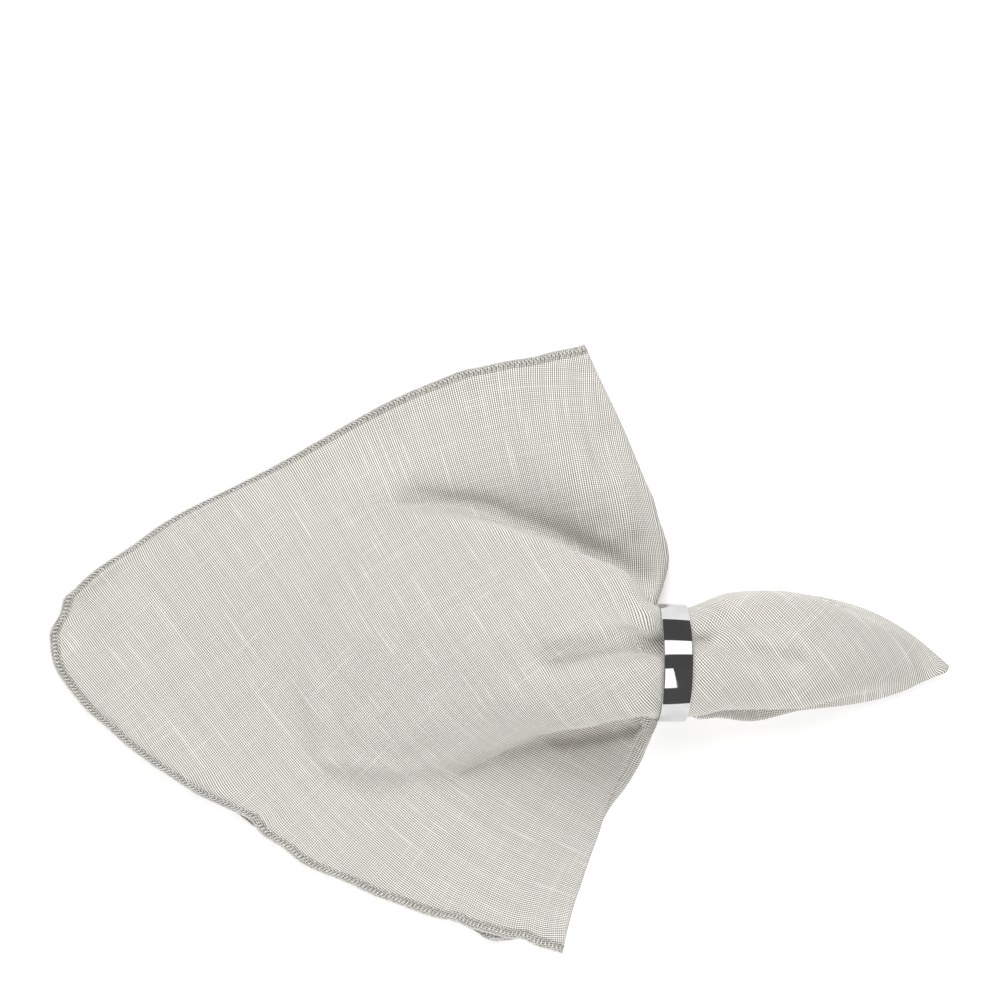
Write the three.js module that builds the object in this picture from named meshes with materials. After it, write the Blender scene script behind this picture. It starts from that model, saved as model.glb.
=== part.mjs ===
// A linen napkin folded in quarters, its folded centre pulled through a metal ring.
// Millimetres, +Z up. +X runs to the folded tip, the cloth rests on z = 0.
import * as THREE from 'three';

// The sheet and its stack of four layers.
const SHEET = 1.0;
const PITCH = 1.2;
const HALF_STACK = 1.5 * PITCH + SHEET / 2;
const REST = HALF_STACK;

// The ring: a plain band, its axis along X, leaning a little towards the tip.
const RING = { x: 59.3, y: -6.8, z: 21.05, bore: 19.3, wall: 1.4, width: 11.0, edge: 0.4, lean: 0.075 };
const NECK_X = 53.8;

// Half of the cloth's section in the ring: foot, tuck, shoulder and arch, from the ring's axis.
const FOOT = { y: 11.8, z: -10.0 };
const TUCK = { y: 6.8, radius: 4.1 };
const SHOULDER = { y: 12.0, radius: 3.8 };
const ARCH = { half: 15.8, rise: 13.4 };
const FOOT_SHARE = 0.93;
const TROUGH = { y: 6.0, depth: 3.2, width: 3.6, reach: 0.17, tailReach: 34 };

// The tail, from the folded tip back to the ring: one row for each section.
// gather: how far its tucks are closed. spread: how far the lower foot pokes out below the tail.
const TAIL = [
  { x: 158.6, y: -8.6, half: 0.0, crown: 2.5, foot: 2.5, gather: 0.0, spread: 0.0 },
  { x: 155.0, y: -7.4, half: 2.1, crown: 2.8, foot: 2.5, gather: 0.0, spread: 0.0 },
  { x: 150.0, y: -6.0, half: 5.1, crown: 4.4, foot: 2.5, gather: 0.0, spread: 0.0 },
  { x: 142.8, y: -4.8, half: 9.4, crown: 9.0, foot: 2.6, gather: 0.04, spread: 0.0 },
  { x: 133.9, y: -3.7, half: 13.7, crown: 15.0, foot: 3.0, gather: 0.12, spread: 0.0 },
  { x: 125.0, y: -3.0, half: 17.0, crown: 20.5, foot: 3.6, gather: 0.24, spread: 0.0 },
  { x: 107.1, y: -2.5, half: 21.8, crown: 28.5, foot: 5.5, gather: 0.52, spread: 0.5 },
  { x: 89.3, y: -2.3, half: 20.2, crown: 32.5, foot: 7.4, gather: 0.8, spread: 8.0 },
  { x: 78.0, y: -3.2, half: 18.4, crown: 35.0, foot: 9.8, gather: 0.95, spread: 6.0 },
  { x: 68.0, y: -6.7, half: 15.8, crown: 36.45, foot: 11.05, gather: 1.0, spread: 0.6 },
  { x: 53.8, y: -6.8, half: 15.8, crown: 36.45, foot: 11.05, gather: 1.0, spread: 0.0 },
];
const ROUND = { most: 0.75, rise: 20.0 };

// The hem's outline on the table, from the upper fold round the four corners to the lower fold.
const HEM = [
  { x: 28.6, y: 107.1 },
  { x: -23.9, y: 94.2 },
  { x: -89.3, y: 60.7 },
  { x: -142.8, y: 28.6 },
  { x: -156.5, y: 13.5 },
  { x: -159.6, y: 2.2 },
  { x: -152.8, y: -15.0 },
  { x: -125.0, y: -40.7 },
  { x: -93.0, y: -59.3 },
  { x: -71.4, y: -75.7 },
  { x: -35.7, y: -91.0 },
  { x: 19.6, y: -107.8 },
];
const CORNER_ROW = 5;

// Lines of the cloth from the ring to the hem, by their share of the quarter turn.
// reach: where the line comes down to the table. land: how steeply. lead: how far it runs straight out.
// bow, at: how far it swings and where. flare, puff: how far it spreads near the ring, in X and in Y.
// up: where its tuck opens.
const LINE_COLUMNS = ['share', 'reach', 'land', 'lead', 'bowX', 'bowY', 'at', 'flare', 'puff', 'up'];
const LINES = [
  [0.0, 0.28, 0.0, 3.2, 10.2, 0.0, 0.33, 0.0, 0.0, 0.1],
  [0.063, 0.26, 0.0, 4.5, 5.0, 11.0, 0.27, 0.0, 1.0, 0.1],
  [0.115, 0.26, 0.0, 6.0, 2.0, 11.0, 0.26, 0.0, 1.5, 0.1],
  [0.15, 0.32, 0.2, 6.0, 1.4, 9.8, 0.26, 0.0, 2.6, 0.1],
  [0.18, 0.41, 0.5, 6.0, 0.8, 9.4, 0.26, 0.0, 4.5, 0.1],
  [0.21, 0.53, 0.7, 5.7, 0.2, 11.0, 0.27, 0.0, 5.9, 0.1],
  [0.25, 0.61, 0.8, 5.3, 0.0, 14.5, 0.28, 0.0, 6.9, 0.1],
  [0.3, 0.67, 0.6, 5.0, 0.0, 16.0, 0.29, 0.0, 7.4, 0.11],
  [0.4, 0.76, 0.15, 5.0, 0.0, 14.0, 0.32, 0.0, 4.7, 0.13],
  [0.5, 0.8, 0.0, 5.5, 0.0, 10.0, 0.36, 0.0, 1.0, 0.16],
  [0.6, 0.8, 0.0, 5.5, 0.0, 4.0, 0.38, 0.0, 0.0, 0.2],
  [0.7, 0.76, 0.0, 5.0, 0.0, 3.2, 0.38, 0.0, -1.8, 0.22],
  [0.76, 0.7, 0.0, 5.0, 0.0, 4.6, 0.36, 0.0, -2.2, 0.22],
  [0.795, 0.57, 0.1, 5.2, 0.0, 7.2, 0.36, 0.2, -1.5, 0.22],
  [0.825, 0.43, 0.2, 5.4, 0.0, 10.0, 0.36, 0.45, -0.2, 0.22],
  [0.855, 0.33, 0.2, 5.5, 0.0, 11.3, 0.36, 0.7, 1.0, 0.22],
  [0.885, 0.28, 0.0, 5.5, 0.0, 10.5, 0.37, 1.0, 2.0, 0.22],
  [0.937, 0.27, 0.0, 4.5, -1.5, 5.0, 0.4, 1.2, 1.0, 0.22],
  [1.0, 0.28, 0.0, 3.2, -3.6, 0.0, 0.6, 1.4, 0.0, 0.22],
].map((row) => Object.fromEntries(LINE_COLUMNS.map((name, i) => [name, row[i]])));
const FLARE = { at: 0.2, fade: 0.2 };
const PUFF = { at: 0.08, fade: 0.18 };
// Away from the ring the bulge is a pillow with a steep rim. The upper wing swells a little beside it.
const PILLOW = { upper: 0.8, lower: 1.8, from: 0.09, rim: 0.16, over: 0.4 };
const SWELL = { rise: 7.0, share: 0.085, width: 0.05, at: 0.4, reach: 0.2 };
const TUCK_DRIFT = { share: 0.07, over: 0.38 };
const TUCK_OPEN = 0.45;
const LEAD_OVER = 0.05;

// The lower two layers have slipped out past the upper two at the lower fold, beside the ring.
const SLIP = { out: 3.8, share: 0.94, from: 0.03, full: 0.2, fade: 0.3, to: 0.5 };

// How finely the cloth is cut: stations along it, shares across it, steps round a fold.
const TAIL_STATIONS = [0.05, 0.12, 0.21, 0.32, 0.46, 0.61, 0.76, 0.88];
const SKIRT_STATIONS = [0, 0.05, 0.1, 0.16, 0.23, 0.31, 0.4, 0.5, 0.62, 0.78, 1];
const FOLD_STEPS = 4;
const ACROSS = [
  { from: 0.0, to: 0.065, steps: 2 },
  { from: 0.065, to: 0.3, steps: 9 },
  { from: 0.3, to: 0.45, steps: 3 },
  { from: 0.45, to: 0.5, steps: 3 },
];

function clamp01(t) {
  return Math.min(1, Math.max(0, t));
}

function smooth(t) {
  const c = clamp01(t);
  return c * c * (3 - 2 * c);
}

function mix(a, b, t) {
  return a + (b - a) * t;
}

// A smooth curve through one column of a table.
function curve(rows, key, column, at) {
  const last = rows.length - 1;
  const slope = (i) => (rows[i + 1][column] - rows[i][column]) / (rows[i + 1][key] - rows[i][key]);
  const tangent = (i) => {
    if (i === 0) return slope(0);
    if (i === last) return slope(last - 1);
    const before = rows[i][key] - rows[i - 1][key];
    const after = rows[i + 1][key] - rows[i][key];
    return (slope(i - 1) * after + slope(i) * before) / (before + after);
  };
  let i = 0;
  while (i < last - 1 && (at - rows[i + 1][key]) * Math.sign(rows[last][key] - rows[0][key]) > 0) i += 1;
  const span = rows[i + 1][key] - rows[i][key];
  const t = clamp01((at - rows[i][key]) / span);
  const start = rows[i][column] * (1 + 2 * t) * (1 - t) ** 2 + tangent(i) * span * t * (1 - t) ** 2;
  const end = rows[i + 1][column] * t * t * (3 - 2 * t) - tangent(i + 1) * span * t * t * (1 - t);
  return start + end;
}

// Points spaced by length along a path; the lookup takes a share from 0 to 1.
function byLength(points) {
  const along = [0];
  for (let i = 1; i < points.length; i += 1) {
    along.push(along[i - 1] + points[i].distanceTo(points[i - 1]));
  }
  const total = along[along.length - 1];
  return (share) => {
    const s = clamp01(share) * total;
    let i = 0;
    while (i < points.length - 2 && along[i + 1] < s) i += 1;
    return points[i].clone().lerp(points[i + 1], (s - along[i]) / (along[i + 1] - along[i]));
  };
}

function halfSection() {
  const points = [];
  const steps = 24;
  const middle = FOOT.z + 2 * TUCK.radius;
  const add = (shape) => {
    for (let i = 0; i < steps; i += 1) points.push(new THREE.Vector2(...shape(i / steps)));
  };
  add((t) => [mix(FOOT.y, TUCK.y, t), FOOT.z]);
  add((t) => [
    TUCK.y - TUCK.radius * Math.sin(Math.PI * t),
    FOOT.z + TUCK.radius * (1 - Math.cos(Math.PI * t)),
  ]);
  add((t) => [mix(TUCK.y, SHOULDER.y, t), middle]);
  add((t) => [
    SHOULDER.y + SHOULDER.radius * Math.sin((Math.PI / 2) * t),
    middle + SHOULDER.radius * (1 - Math.cos((Math.PI / 2) * t)),
  ]);
  add((t) => [
    ARCH.half * Math.cos((Math.PI / 2) * t),
    middle + SHOULDER.radius + ARCH.rise * Math.sin((Math.PI / 2) * t),
  ]);
  points.push(new THREE.Vector2(0, middle + SHOULDER.radius + ARCH.rise));
  return byLength(points);
}
const section = halfSection();
const CROWN_Z = section(1).y;

// The section in the ring at a share of the quarter turn, with the trough pressed into its top.
function ringSection(share, trough) {
  const upper = share <= 0.5;
  const half = section(2 * (upper ? share : 1 - share));
  const y = upper ? half.x : -half.x;
  const onTop = smooth((half.y - 4) / 6);
  const dip = TROUGH.depth * trough * onTop * Math.exp(-(((y - TROUGH.y) / TROUGH.width) ** 2));
  return { y, z: half.y - dip };
}

function hemOutline() {
  const rows = HEM.map((row) => ({ ...row, along: 0 }));
  for (let i = 1; i < rows.length; i += 1) {
    const step = Math.hypot(rows[i].x - rows[i - 1].x, rows[i].y - rows[i - 1].y);
    rows[i].along = rows[i - 1].along + step;
  }
  const corner = rows[CORNER_ROW].along;
  const end = rows[rows.length - 1].along;
  const side = (from, to) => {
    const points = [];
    for (let i = 0; i <= 120; i += 1) {
      const s = mix(from, to, i / 120);
      points.push(new THREE.Vector2(curve(rows, 'along', 'x', s), curve(rows, 'along', 'y', s)));
    }
    return byLength(points);
  };
  return { upper: side(0, corner), lower: side(corner, end) };
}
const hem = hemOutline();

// A straight line from the napkin's centre at this share of the quarter turn meets the hem here.
function hemPoint(share) {
  const turn = (share * Math.PI) / 2;
  if (share <= 0.5) return hem.upper(Math.tan(turn));
  return hem.lower(1 - Math.tan(Math.PI / 2 - turn));
}

function swing(f, at) {
  if (f < at) return smooth(f / at);
  return Math.cos((Math.PI / 2) * clamp01((f - at) / (1 - at)));
}

function near(f, at, fade) {
  return smooth(f / at) * Math.exp(-((Math.max(f - at, 0) / fade) ** 2));
}

// The middle of the stack between the ring (f = 0) and the hem (f = 1).
function skirt(f, share) {
  const line = (column) => curve(LINES, 'share', column, share);
  const led = 1 - Math.exp(-f / LEAD_OVER);
  const go = (f - LEAD_OVER * led) / (1 - LEAD_OVER);
  const drift = TUCK_DRIFT.share * Math.sin(2 * Math.PI * share) * smooth(go / TUCK_DRIFT.over);
  const ring = ringSection(share - drift, Math.exp(-((go / TROUGH.reach) ** 2)));
  const arch = Math.sin(Math.PI * share);
  const power = mix(PILLOW.upper, PILLOW.lower, smooth(2 * share - 0.5));
  const pillow = arch ** power * smooth((Math.min(share, 1 - share) - PILLOW.from) / PILLOW.rim);
  const bell = FOOT.z + (CROWN_Z - FOOT.z) * mix(arch ** 2, pillow, smooth(go / PILLOW.over));
  const y = mix(ring.y, ARCH.half * (1 - 2 * share), smooth(go / TUCK_OPEN));
  const z = mix(ring.z, bell, smooth(go / line('up')));
  const end = hemPoint(share);
  const swung = swing(go, line('at'));
  const ahead = line('lead') * led * (1 - go);
  const flare = line('flare') * near(go, FLARE.at, FLARE.fade);
  const puff = line('puff') * near(go, PUFF.at, PUFF.fade);
  const fallen = clamp01(go / line('reach'));
  const landed = mix(smooth(fallen), fallen ** 2, line('land'));
  const beside = ((share - SWELL.share) / SWELL.width) ** 2 + ((go - SWELL.at) / SWELL.reach) ** 2;
  const swell = SWELL.rise * Math.exp(-beside);
  return new THREE.Vector3(
    mix(NECK_X + RING.lean * z, end.x, go) + line('bowX') * swung + flare - ahead,
    mix(RING.y + y, end.y, go) + line('bowY') * swung + puff,
    mix(RING.z + z, REST, landed) + swell,
  );
}

// The middle of the stack between the folded tip (s = 0) and the ring (s = 1).
function tail(s, share) {
  const x = mix(TAIL[0].x, NECK_X, s);
  const at = (column) => curve(TAIL, 'x', column, x);
  const trough = Math.exp(-((Math.max(x - RING.x, 0) / TROUGH.tailReach) ** 2));
  const ring = ringSection(share, trough);
  const foot = at('foot');
  const rise = at('crown') - foot;
  const half = at('half');
  const gather = at('gather');
  const gathered = foot + ((ring.z - FOOT.z) / (CROWN_Z - FOOT.z)) * rise;
  const round = ROUND.most * smooth(rise / ROUND.rise);
  const open = foot + rise * mix(4 * share * (1 - share), Math.sin(Math.PI * share), round);
  const across = mix(1 - 2 * share, Math.cos(Math.PI * share), round);
  const z = mix(open, gathered, gather);
  const spread = at('spread') * smooth((share - FOOT_SHARE) / (1 - FOOT_SHARE));
  const y = at('y') + half * mix(across, ring.y / ARCH.half, gather) - spread;
  return new THREE.Vector3(x + RING.lean * (z - RING.z) * gather, y, z);
}

// Along runs from 0 at the tip through 1 at the ring to 2 at the hem.
function middle(along, share) {
  return along <= 1 ? tail(Math.max(along, 0), share) : skirt(Math.min(along - 1, 1), share);
}

// The stack's normal and, at a fold edge, the way out of the cloth.
function frameAt(along, share) {
  const du = 0.02;
  const dv = 0.004;
  const run = middle(Math.min(along + du, 2), share).sub(middle(Math.max(along - du, 0), share));
  const over = middle(along, Math.min(share + dv, 1)).sub(middle(along, Math.max(share - dv, 0)));
  run.normalize();
  const out = over.clone().addScaledVector(run, -over.dot(run)).normalize();
  const normal = new THREE.Vector3().crossVectors(run, out).normalize();
  return { normal, out };
}

const shares = [];
ACROSS.forEach((part) => {
  for (let i = 0; i < part.steps; i += 1) shares.push(mix(part.from, part.to, i / part.steps));
});
const ACROSS_SHARES = [...shares, 0.5, ...shares.map((share) => 1 - share).reverse()];
const FOLD_TURNS = [];
for (let i = 1; i < FOLD_STEPS; i += 1) FOLD_TURNS.push((Math.PI * i) / FOLD_STEPS);

// A point of one face of the sheet. turnU goes round the lower fold, turnV round the upper one.
function onFace(face, centre, normal, outU, outV, turnU, turnV) {
  const small = PITCH / 2 + (face * SHEET) / 2;
  const large = PITCH + small * Math.cos(turnU);
  return centre
    .clone()
    .addScaledVector(outU, small * Math.sin(turnU))
    .addScaledVector(outV, large * Math.sin(turnV))
    .addScaledVector(normal, large * Math.cos(turnV));
}

const NONE = new THREE.Vector3();

function slipped(along, share) {
  const f = along - 1;
  const comes = smooth((f - SLIP.from) / (SLIP.full - SLIP.from));
  const goes = smooth((f - SLIP.fade) / (SLIP.to - SLIP.fade));
  return SLIP.out * comes * (1 - goes) * smooth((share - SLIP.share) / (1 - SLIP.share));
}

// One closed loop round the four layers at a station: out, fold, back, fold, out, fold, back, fold.
function loopAt(face, along) {
  const points = [];
  const lower = frameAt(along, 1);
  const upper = frameAt(along, 0);
  const centreAt = (share, turnV) => {
    const slip = turnV > 0 ? slipped(along, share) : 0;
    return middle(along, share).addScaledVector(frameAt(along, share).out, slip);
  };
  const layer = (turnU, turnV, list) => {
    list.forEach((share) => {
      const { normal } = frameAt(along, share);
      points.push(onFace(face, centreAt(share, turnV), normal, NONE, NONE, turnU, turnV));
    });
  };
  const upperEdge = middle(along, 0);
  const away = upper.out.clone().negate();
  const foldU = (turns, turnV) => {
    const edge = centreAt(1, turnV);
    turns.forEach((turn) => points.push(onFace(face, edge, lower.normal, lower.out, NONE, turn, turnV)));
  };
  const foldV = (turns, turnU) => {
    turns.forEach((turn) => points.push(onFace(face, upperEdge, upper.normal, NONE, away, turnU, turn)));
  };
  const backwards = (list) => [...list].reverse();
  layer(0, 0, ACROSS_SHARES);
  foldU(FOLD_TURNS, 0);
  layer(Math.PI, 0, backwards(ACROSS_SHARES));
  foldV(FOLD_TURNS, Math.PI);
  layer(Math.PI, Math.PI, ACROSS_SHARES);
  foldU(backwards(FOLD_TURNS), Math.PI);
  layer(0, Math.PI, backwards(ACROSS_SHARES));
  foldV(backwards(FOLD_TURNS), 0);
  return points;
}

// The folded centre: the patch of both folds where the four layers meet in one point.
function tipPatch(face) {
  const along = 0.02;
  const centre = middle(0, 0.5);
  const up = new THREE.Vector3(0, 0, 1);
  const outU = frameAt(along, 1).out.setZ(0).normalize();
  const outV = frameAt(along, 0).out.negate().setZ(0).normalize();
  const rows = [];
  for (let i = 0; i <= FOLD_STEPS; i += 1) {
    const row = [];
    for (let j = 0; j <= FOLD_STEPS; j += 1) {
      row.push(onFace(face, centre, up, outU, outV, (Math.PI * i) / FOLD_STEPS, (Math.PI * j) / FOLD_STEPS));
    }
    rows.push(row);
  }
  return rows;
}

function napkinGeometry() {
  const positions = [];
  const faces = [];
  const put = (point) => {
    positions.push(point.x, point.y, point.z);
    return positions.length / 3 - 1;
  };
  const stations = [...TAIL_STATIONS, ...SKIRT_STATIONS.map((f) => 1 + f)];
  const wide = ACROSS_SHARES.length;
  const part = wide + FOLD_STEPS - 1;
  const runsBack = (i) => {
    const outerFold = i >= 3 * part + wide - 1;
    return Math.floor(i / part) % 2 === 1 && !outerFold;
  };
  const hemLoops = [];
  [1, -1].forEach((face) => {
    const triangle = (a, b, c) => faces.push(face > 0 ? [a, b, c] : [a, c, b]);
    const quad = (a, b, c, d) => {
      triangle(a, b, c);
      triangle(a, c, d);
    };
    const patch = tipPatch(face).map((row) => row.map(put));
    for (let i = 0; i < FOLD_STEPS; i += 1) {
      for (let j = 0; j < FOLD_STEPS; j += 1) {
        quad(patch[i][j], patch[i + 1][j], patch[i + 1][j + 1], patch[i][j + 1]);
      }
    }
    const rim = [];
    const corner = (i, j) => {
      for (let k = 0; k < wide; k += 1) rim.push(patch[i][j]);
    };
    const edge = (pick) => {
      for (let k = 1; k < FOLD_STEPS; k += 1) rim.push(pick(k));
    };
    corner(0, 0);
    edge((k) => patch[k][0]);
    corner(FOLD_STEPS, 0);
    edge((k) => patch[FOLD_STEPS][k]);
    corner(FOLD_STEPS, FOLD_STEPS);
    edge((k) => patch[FOLD_STEPS - k][FOLD_STEPS]);
    corner(0, FOLD_STEPS);
    edge((k) => patch[0][FOLD_STEPS - k]);
    let before = rim;
    stations.forEach((along) => {
      const loop = loopAt(face, along).map(put);
      loop.forEach((point, i) => {
        const next = (i + 1) % loop.length;
        if (before[i] === before[next]) {
          triangle(before[i], point, loop[next]);
        } else if (runsBack(i)) {
          triangle(before[i], point, before[next]);
          triangle(before[next], point, loop[next]);
        } else {
          triangle(before[i], point, loop[next]);
          triangle(before[i], loop[next], before[next]);
        }
      });
      before = loop;
    });
    hemLoops.push(before);
  });
  const [outer, inner] = hemLoops;
  outer.forEach((point, i) => {
    const next = (i + 1) % outer.length;
    faces.push([point, inner[i], inner[next]], [point, inner[next], outer[next]]);
  });
  const geometry = new THREE.BufferGeometry();
  geometry.setAttribute('position', new THREE.Float32BufferAttribute(positions, 3));
  geometry.setIndex(faces.flat());
  geometry.computeVertexNormals();
  return geometry;
}

function ringGeometry() {
  const inner = RING.bore;
  const outer = RING.bore + RING.wall;
  const half = RING.width / 2;
  const soft = RING.edge;
  const profile = [
    [inner, soft - half],
    [inner + soft, -half],
    [outer - soft, -half],
    [outer, soft - half],
    [outer, half - soft],
    [outer - soft, half],
    [inner + soft, half],
    [inner, half - soft],
    [inner, soft - half],
  ].map(([radius, along]) => new THREE.Vector2(radius, along));
  const band = new THREE.LatheGeometry(profile, 96);
  band.rotateZ(-Math.PI / 2);
  band.rotateY(Math.atan(RING.lean));
  band.translate(RING.x, RING.y, RING.z);
  return band;
}

const linen = new THREE.MeshStandardMaterial({ color: 0xd8d5ce, roughness: 0.9 });
const metal = new THREE.MeshStandardMaterial({ color: 0xd9dbde, roughness: 0.08, metalness: 1 });
const napkin = new THREE.Mesh(napkinGeometry(), linen);
napkin.name = 'napkin';
const ring = new THREE.Mesh(ringGeometry(), metal);
ring.name = 'ring';

const group = new THREE.Group();
group.name = 'napkin_in_ring';
group.add(napkin, ring);
export default group;
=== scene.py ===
# %% [markdown]
# # A linen napkin drawn through a metal ring
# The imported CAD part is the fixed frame. Around it this lesson makes the real napkin: one thin
# square of linen folded in quarters, its overlocked hem, and the polished band that gathers it.

# %% Load the frame
import math

import bpy
import numpy as np
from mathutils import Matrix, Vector


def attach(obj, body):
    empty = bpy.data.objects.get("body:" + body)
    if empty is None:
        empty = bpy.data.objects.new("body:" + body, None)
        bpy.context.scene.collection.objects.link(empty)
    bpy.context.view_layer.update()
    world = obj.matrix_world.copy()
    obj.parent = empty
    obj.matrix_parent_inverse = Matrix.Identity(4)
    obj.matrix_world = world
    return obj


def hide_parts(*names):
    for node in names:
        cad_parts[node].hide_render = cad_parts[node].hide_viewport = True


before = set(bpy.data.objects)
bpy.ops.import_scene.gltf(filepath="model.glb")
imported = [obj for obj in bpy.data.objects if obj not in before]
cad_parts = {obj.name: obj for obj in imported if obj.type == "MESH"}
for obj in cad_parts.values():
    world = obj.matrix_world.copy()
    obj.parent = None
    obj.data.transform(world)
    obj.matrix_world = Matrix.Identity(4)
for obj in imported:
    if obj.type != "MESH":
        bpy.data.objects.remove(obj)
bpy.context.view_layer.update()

bpy.ops.object.select_all(action="DESELECT")

# %% [markdown]
# ## The drape, as a few curves
# A napkin like this could be simulated, but four layers squeezed into a ring take minutes and fall
# in folds of their own. A tailor would describe it by lines instead: from the folded centre each
# line of the cloth runs through the ring and fans out to the hem. `share` says which line (0 is
# the upper fold, 1 the lower fold), `along` how far along it (0 the tip, 1 the ring, 2 the hem).
# All sizes here are millimetres and become metres at the mesh.

# %% Small helpers for curves and tables
MM = 0.001


def table(columns, rows):
    """Rows of numbers as one array for each named column."""
    return dict(zip(columns.split(), np.array(rows, float).T))


def smooth(t):
    t = np.clip(t, 0.0, 1.0)
    return t * t * (3.0 - 2.0 * t)


def mix(a, b, t):
    return a + (b - a) * t


def hump(t):
    """1 at 0, fading softly to 0 on both sides."""
    return np.exp(-(t**2))


def curve(rows, key, column, at):
    """A smooth curve through one column of a table."""
    x, y = rows[key], rows[column]
    if x[-1] < x[0]:
        x, y = x[::-1], y[::-1]
    step = np.diff(x)
    slope = np.diff(y) / step
    inner = (slope[:-1] * step[1:] + slope[1:] * step[:-1]) / (step[1:] + step[:-1])
    tangent = np.r_[slope[0], inner, slope[-1]]
    i = np.clip(np.searchsorted(x, at) - 1, 0, len(x) - 2)
    t = np.clip((at - x[i]) / step[i], 0.0, 1.0)
    start = y[i] * (1 + 2 * t) * (1 - t) ** 2 + tangent[i] * step[i] * t * (1 - t) ** 2
    return start + y[i + 1] * t * t * (3 - 2 * t) - tangent[i + 1] * step[i] * t * t * (1 - t)


def along_path(x, y):
    """Share of a path's length at each of its points."""
    run = np.r_[0.0, np.cumsum(np.hypot(np.diff(x), np.diff(y)))]
    return run / run[-1]


print("curve helpers ready")

# %% [markdown]
# ## The cloth in the ring
# Inside the ring the folded cloth makes one section: two feet, a tuck above each foot and a
# rounded arch on top. It is drawn once as a half section of straight pieces and arcs, and
# mirrored.

# %% Section of the gathered cloth
SHEET = 0.5
STACK = 4.6
PITCH = (STACK - SHEET) / 3
REST = STACK / 2
RING_X, RING_Y, RING_Z, RING_LEAN = 59.3, -6.8, 21.05, 0.075
NECK_X = 53.8
FOOT_Y, FOOT_Z, FOOT_SHARE = 11.8, -10.0, 0.93
TUCK_Y, TUCK_RADIUS = 6.8, 4.1
SHOULDER_Y, SHOULDER_RADIUS = 12.8, 3.8
ARCH_HALF, ARCH_RISE = 16.6, 13.4
TROUGH_Y, TROUGH_DEPTH, TROUGH_WIDTH = 6.0, 3.2, 3.6
TROUGH_FROM, TROUGH_OVER = 4.0, 6.0
TROUGH_REACH, TROUGH_TAIL = 0.17, 34.0


def half_section(steps=48):
    t = np.arange(steps) / steps
    turn = np.pi / 2 * t
    middle_z = FOOT_Z + 2 * TUCK_RADIUS
    top_z = middle_z + SHOULDER_RADIUS
    y = np.r_[
        mix(FOOT_Y, TUCK_Y, t),
        TUCK_Y - TUCK_RADIUS * np.sin(2 * turn),
        mix(TUCK_Y, SHOULDER_Y, t),
        SHOULDER_Y + SHOULDER_RADIUS * np.sin(turn),
        ARCH_HALF * np.cos(turn),
        0.0,
    ]
    z = np.r_[
        np.full(steps, FOOT_Z),
        FOOT_Z + TUCK_RADIUS * (1 - np.cos(2 * turn)),
        np.full(steps, middle_z),
        middle_z + SHOULDER_RADIUS * (1 - np.cos(turn)),
        top_z + ARCH_RISE * np.sin(turn),
        top_z + ARCH_RISE,
    ]
    return along_path(y, z), y, z


SECTION = half_section()
CROWN_Z = SECTION[2][-1]


def ring_section(share, trough):
    """Where a line of the cloth sits in the ring, with the trough pressed into the top."""
    upper = share <= 0.5
    place = 2 * np.where(upper, share, 1 - share)
    y = np.interp(place, SECTION[0], SECTION[1]) * np.where(upper, 1, -1)
    z = np.interp(place, SECTION[0], SECTION[2])
    depth = TROUGH_DEPTH * trough * smooth((z - TROUGH_FROM) / TROUGH_OVER)
    return y, z - depth * hump((y - TROUGH_Y) / TROUGH_WIDTH)


print("section is", round(CROWN_Z - FOOT_Z, 1), "mm high in the ring")

# %% [markdown]
# ## The leaf-shaped tail
# Beyond the ring the folded centre sticks out as a leaf. A short table gives its sections from the
# tip back to the ring: half width, crown and foot height, how far the tucks are closed, and how
# far the lower foot pokes out below.

# %% Tail sections
TAIL = table("x y half crown foot gather spread", [
    (158.6, -8.6, 0, 2.5, 2.5, 0, 0),
    (155, -7.4, 2.1, 2.8, 2.5, 0, 0),
    (150, -6, 5.1, 4.4, 2.5, 0, 0),
    (142.8, -4.8, 9.4, 9, 2.6, 0.04, 0),
    (133.9, -3.7, 13.7, 15, 3, 0.12, 0),
    (125, -3, 17, 20.5, 3.6, 0.24, 0),
    (107.1, -2.5, 21.8, 28.5, 5.5, 0.52, 0.5),
    (89.3, -2.3, 20.2, 32.5, 7.4, 0.8, 8),
    (78, -3.2, 18.4, 35, 9.8, 0.95, 8.2),
    (68.5, -6.2, 17.1, 36.6, 11, 1, 5.6),
    (65.2, -6.8, 16.7, 36.45, 11.05, 1, 1.6),
    (53.8, -6.8, 16.6, 36.45, 11.05, 1, 0),
])
ROUND_MOST, ROUND_RISE = 0.75, 20.0


def tail(s, share):
    x = mix(TAIL["x"][0], NECK_X, s)
    row = {name: curve(TAIL, "x", name, x) for name in TAIL}
    ring_y, ring_z = ring_section(share, hump(np.maximum(x - RING_X, 0) / TROUGH_TAIL))
    rise = row["crown"] - row["foot"]
    roundness = ROUND_MOST * smooth(rise / ROUND_RISE)
    opened = row["foot"] + rise * mix(4 * share * (1 - share), np.sin(np.pi * share), roundness)
    gathered = row["foot"] + (ring_z - FOOT_Z) / (CROWN_Z - FOOT_Z) * rise
    z = mix(opened, gathered, row["gather"])
    across = mix(1 - 2 * share, np.cos(np.pi * share), roundness)
    spread = row["spread"] * smooth((share - FOOT_SHARE) / (1 - FOOT_SHARE))
    y = row["y"] + row["half"] * mix(across, ring_y / ARCH_HALF, row["gather"]) - spread
    return np.stack([x + RING_LEAN * (z - RING_Z) * row["gather"], y, z], -1)


print("tail is", TAIL["x"][0] - RING_X, "mm long from the ring")

# %% [markdown]
# ## The fanned skirt
# On the other side the quarter fold opens into a fan that comes down to the table. The hem's
# outline is a short list of points, with a smooth curve drawn through them on each side of the far
# corner.

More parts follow.
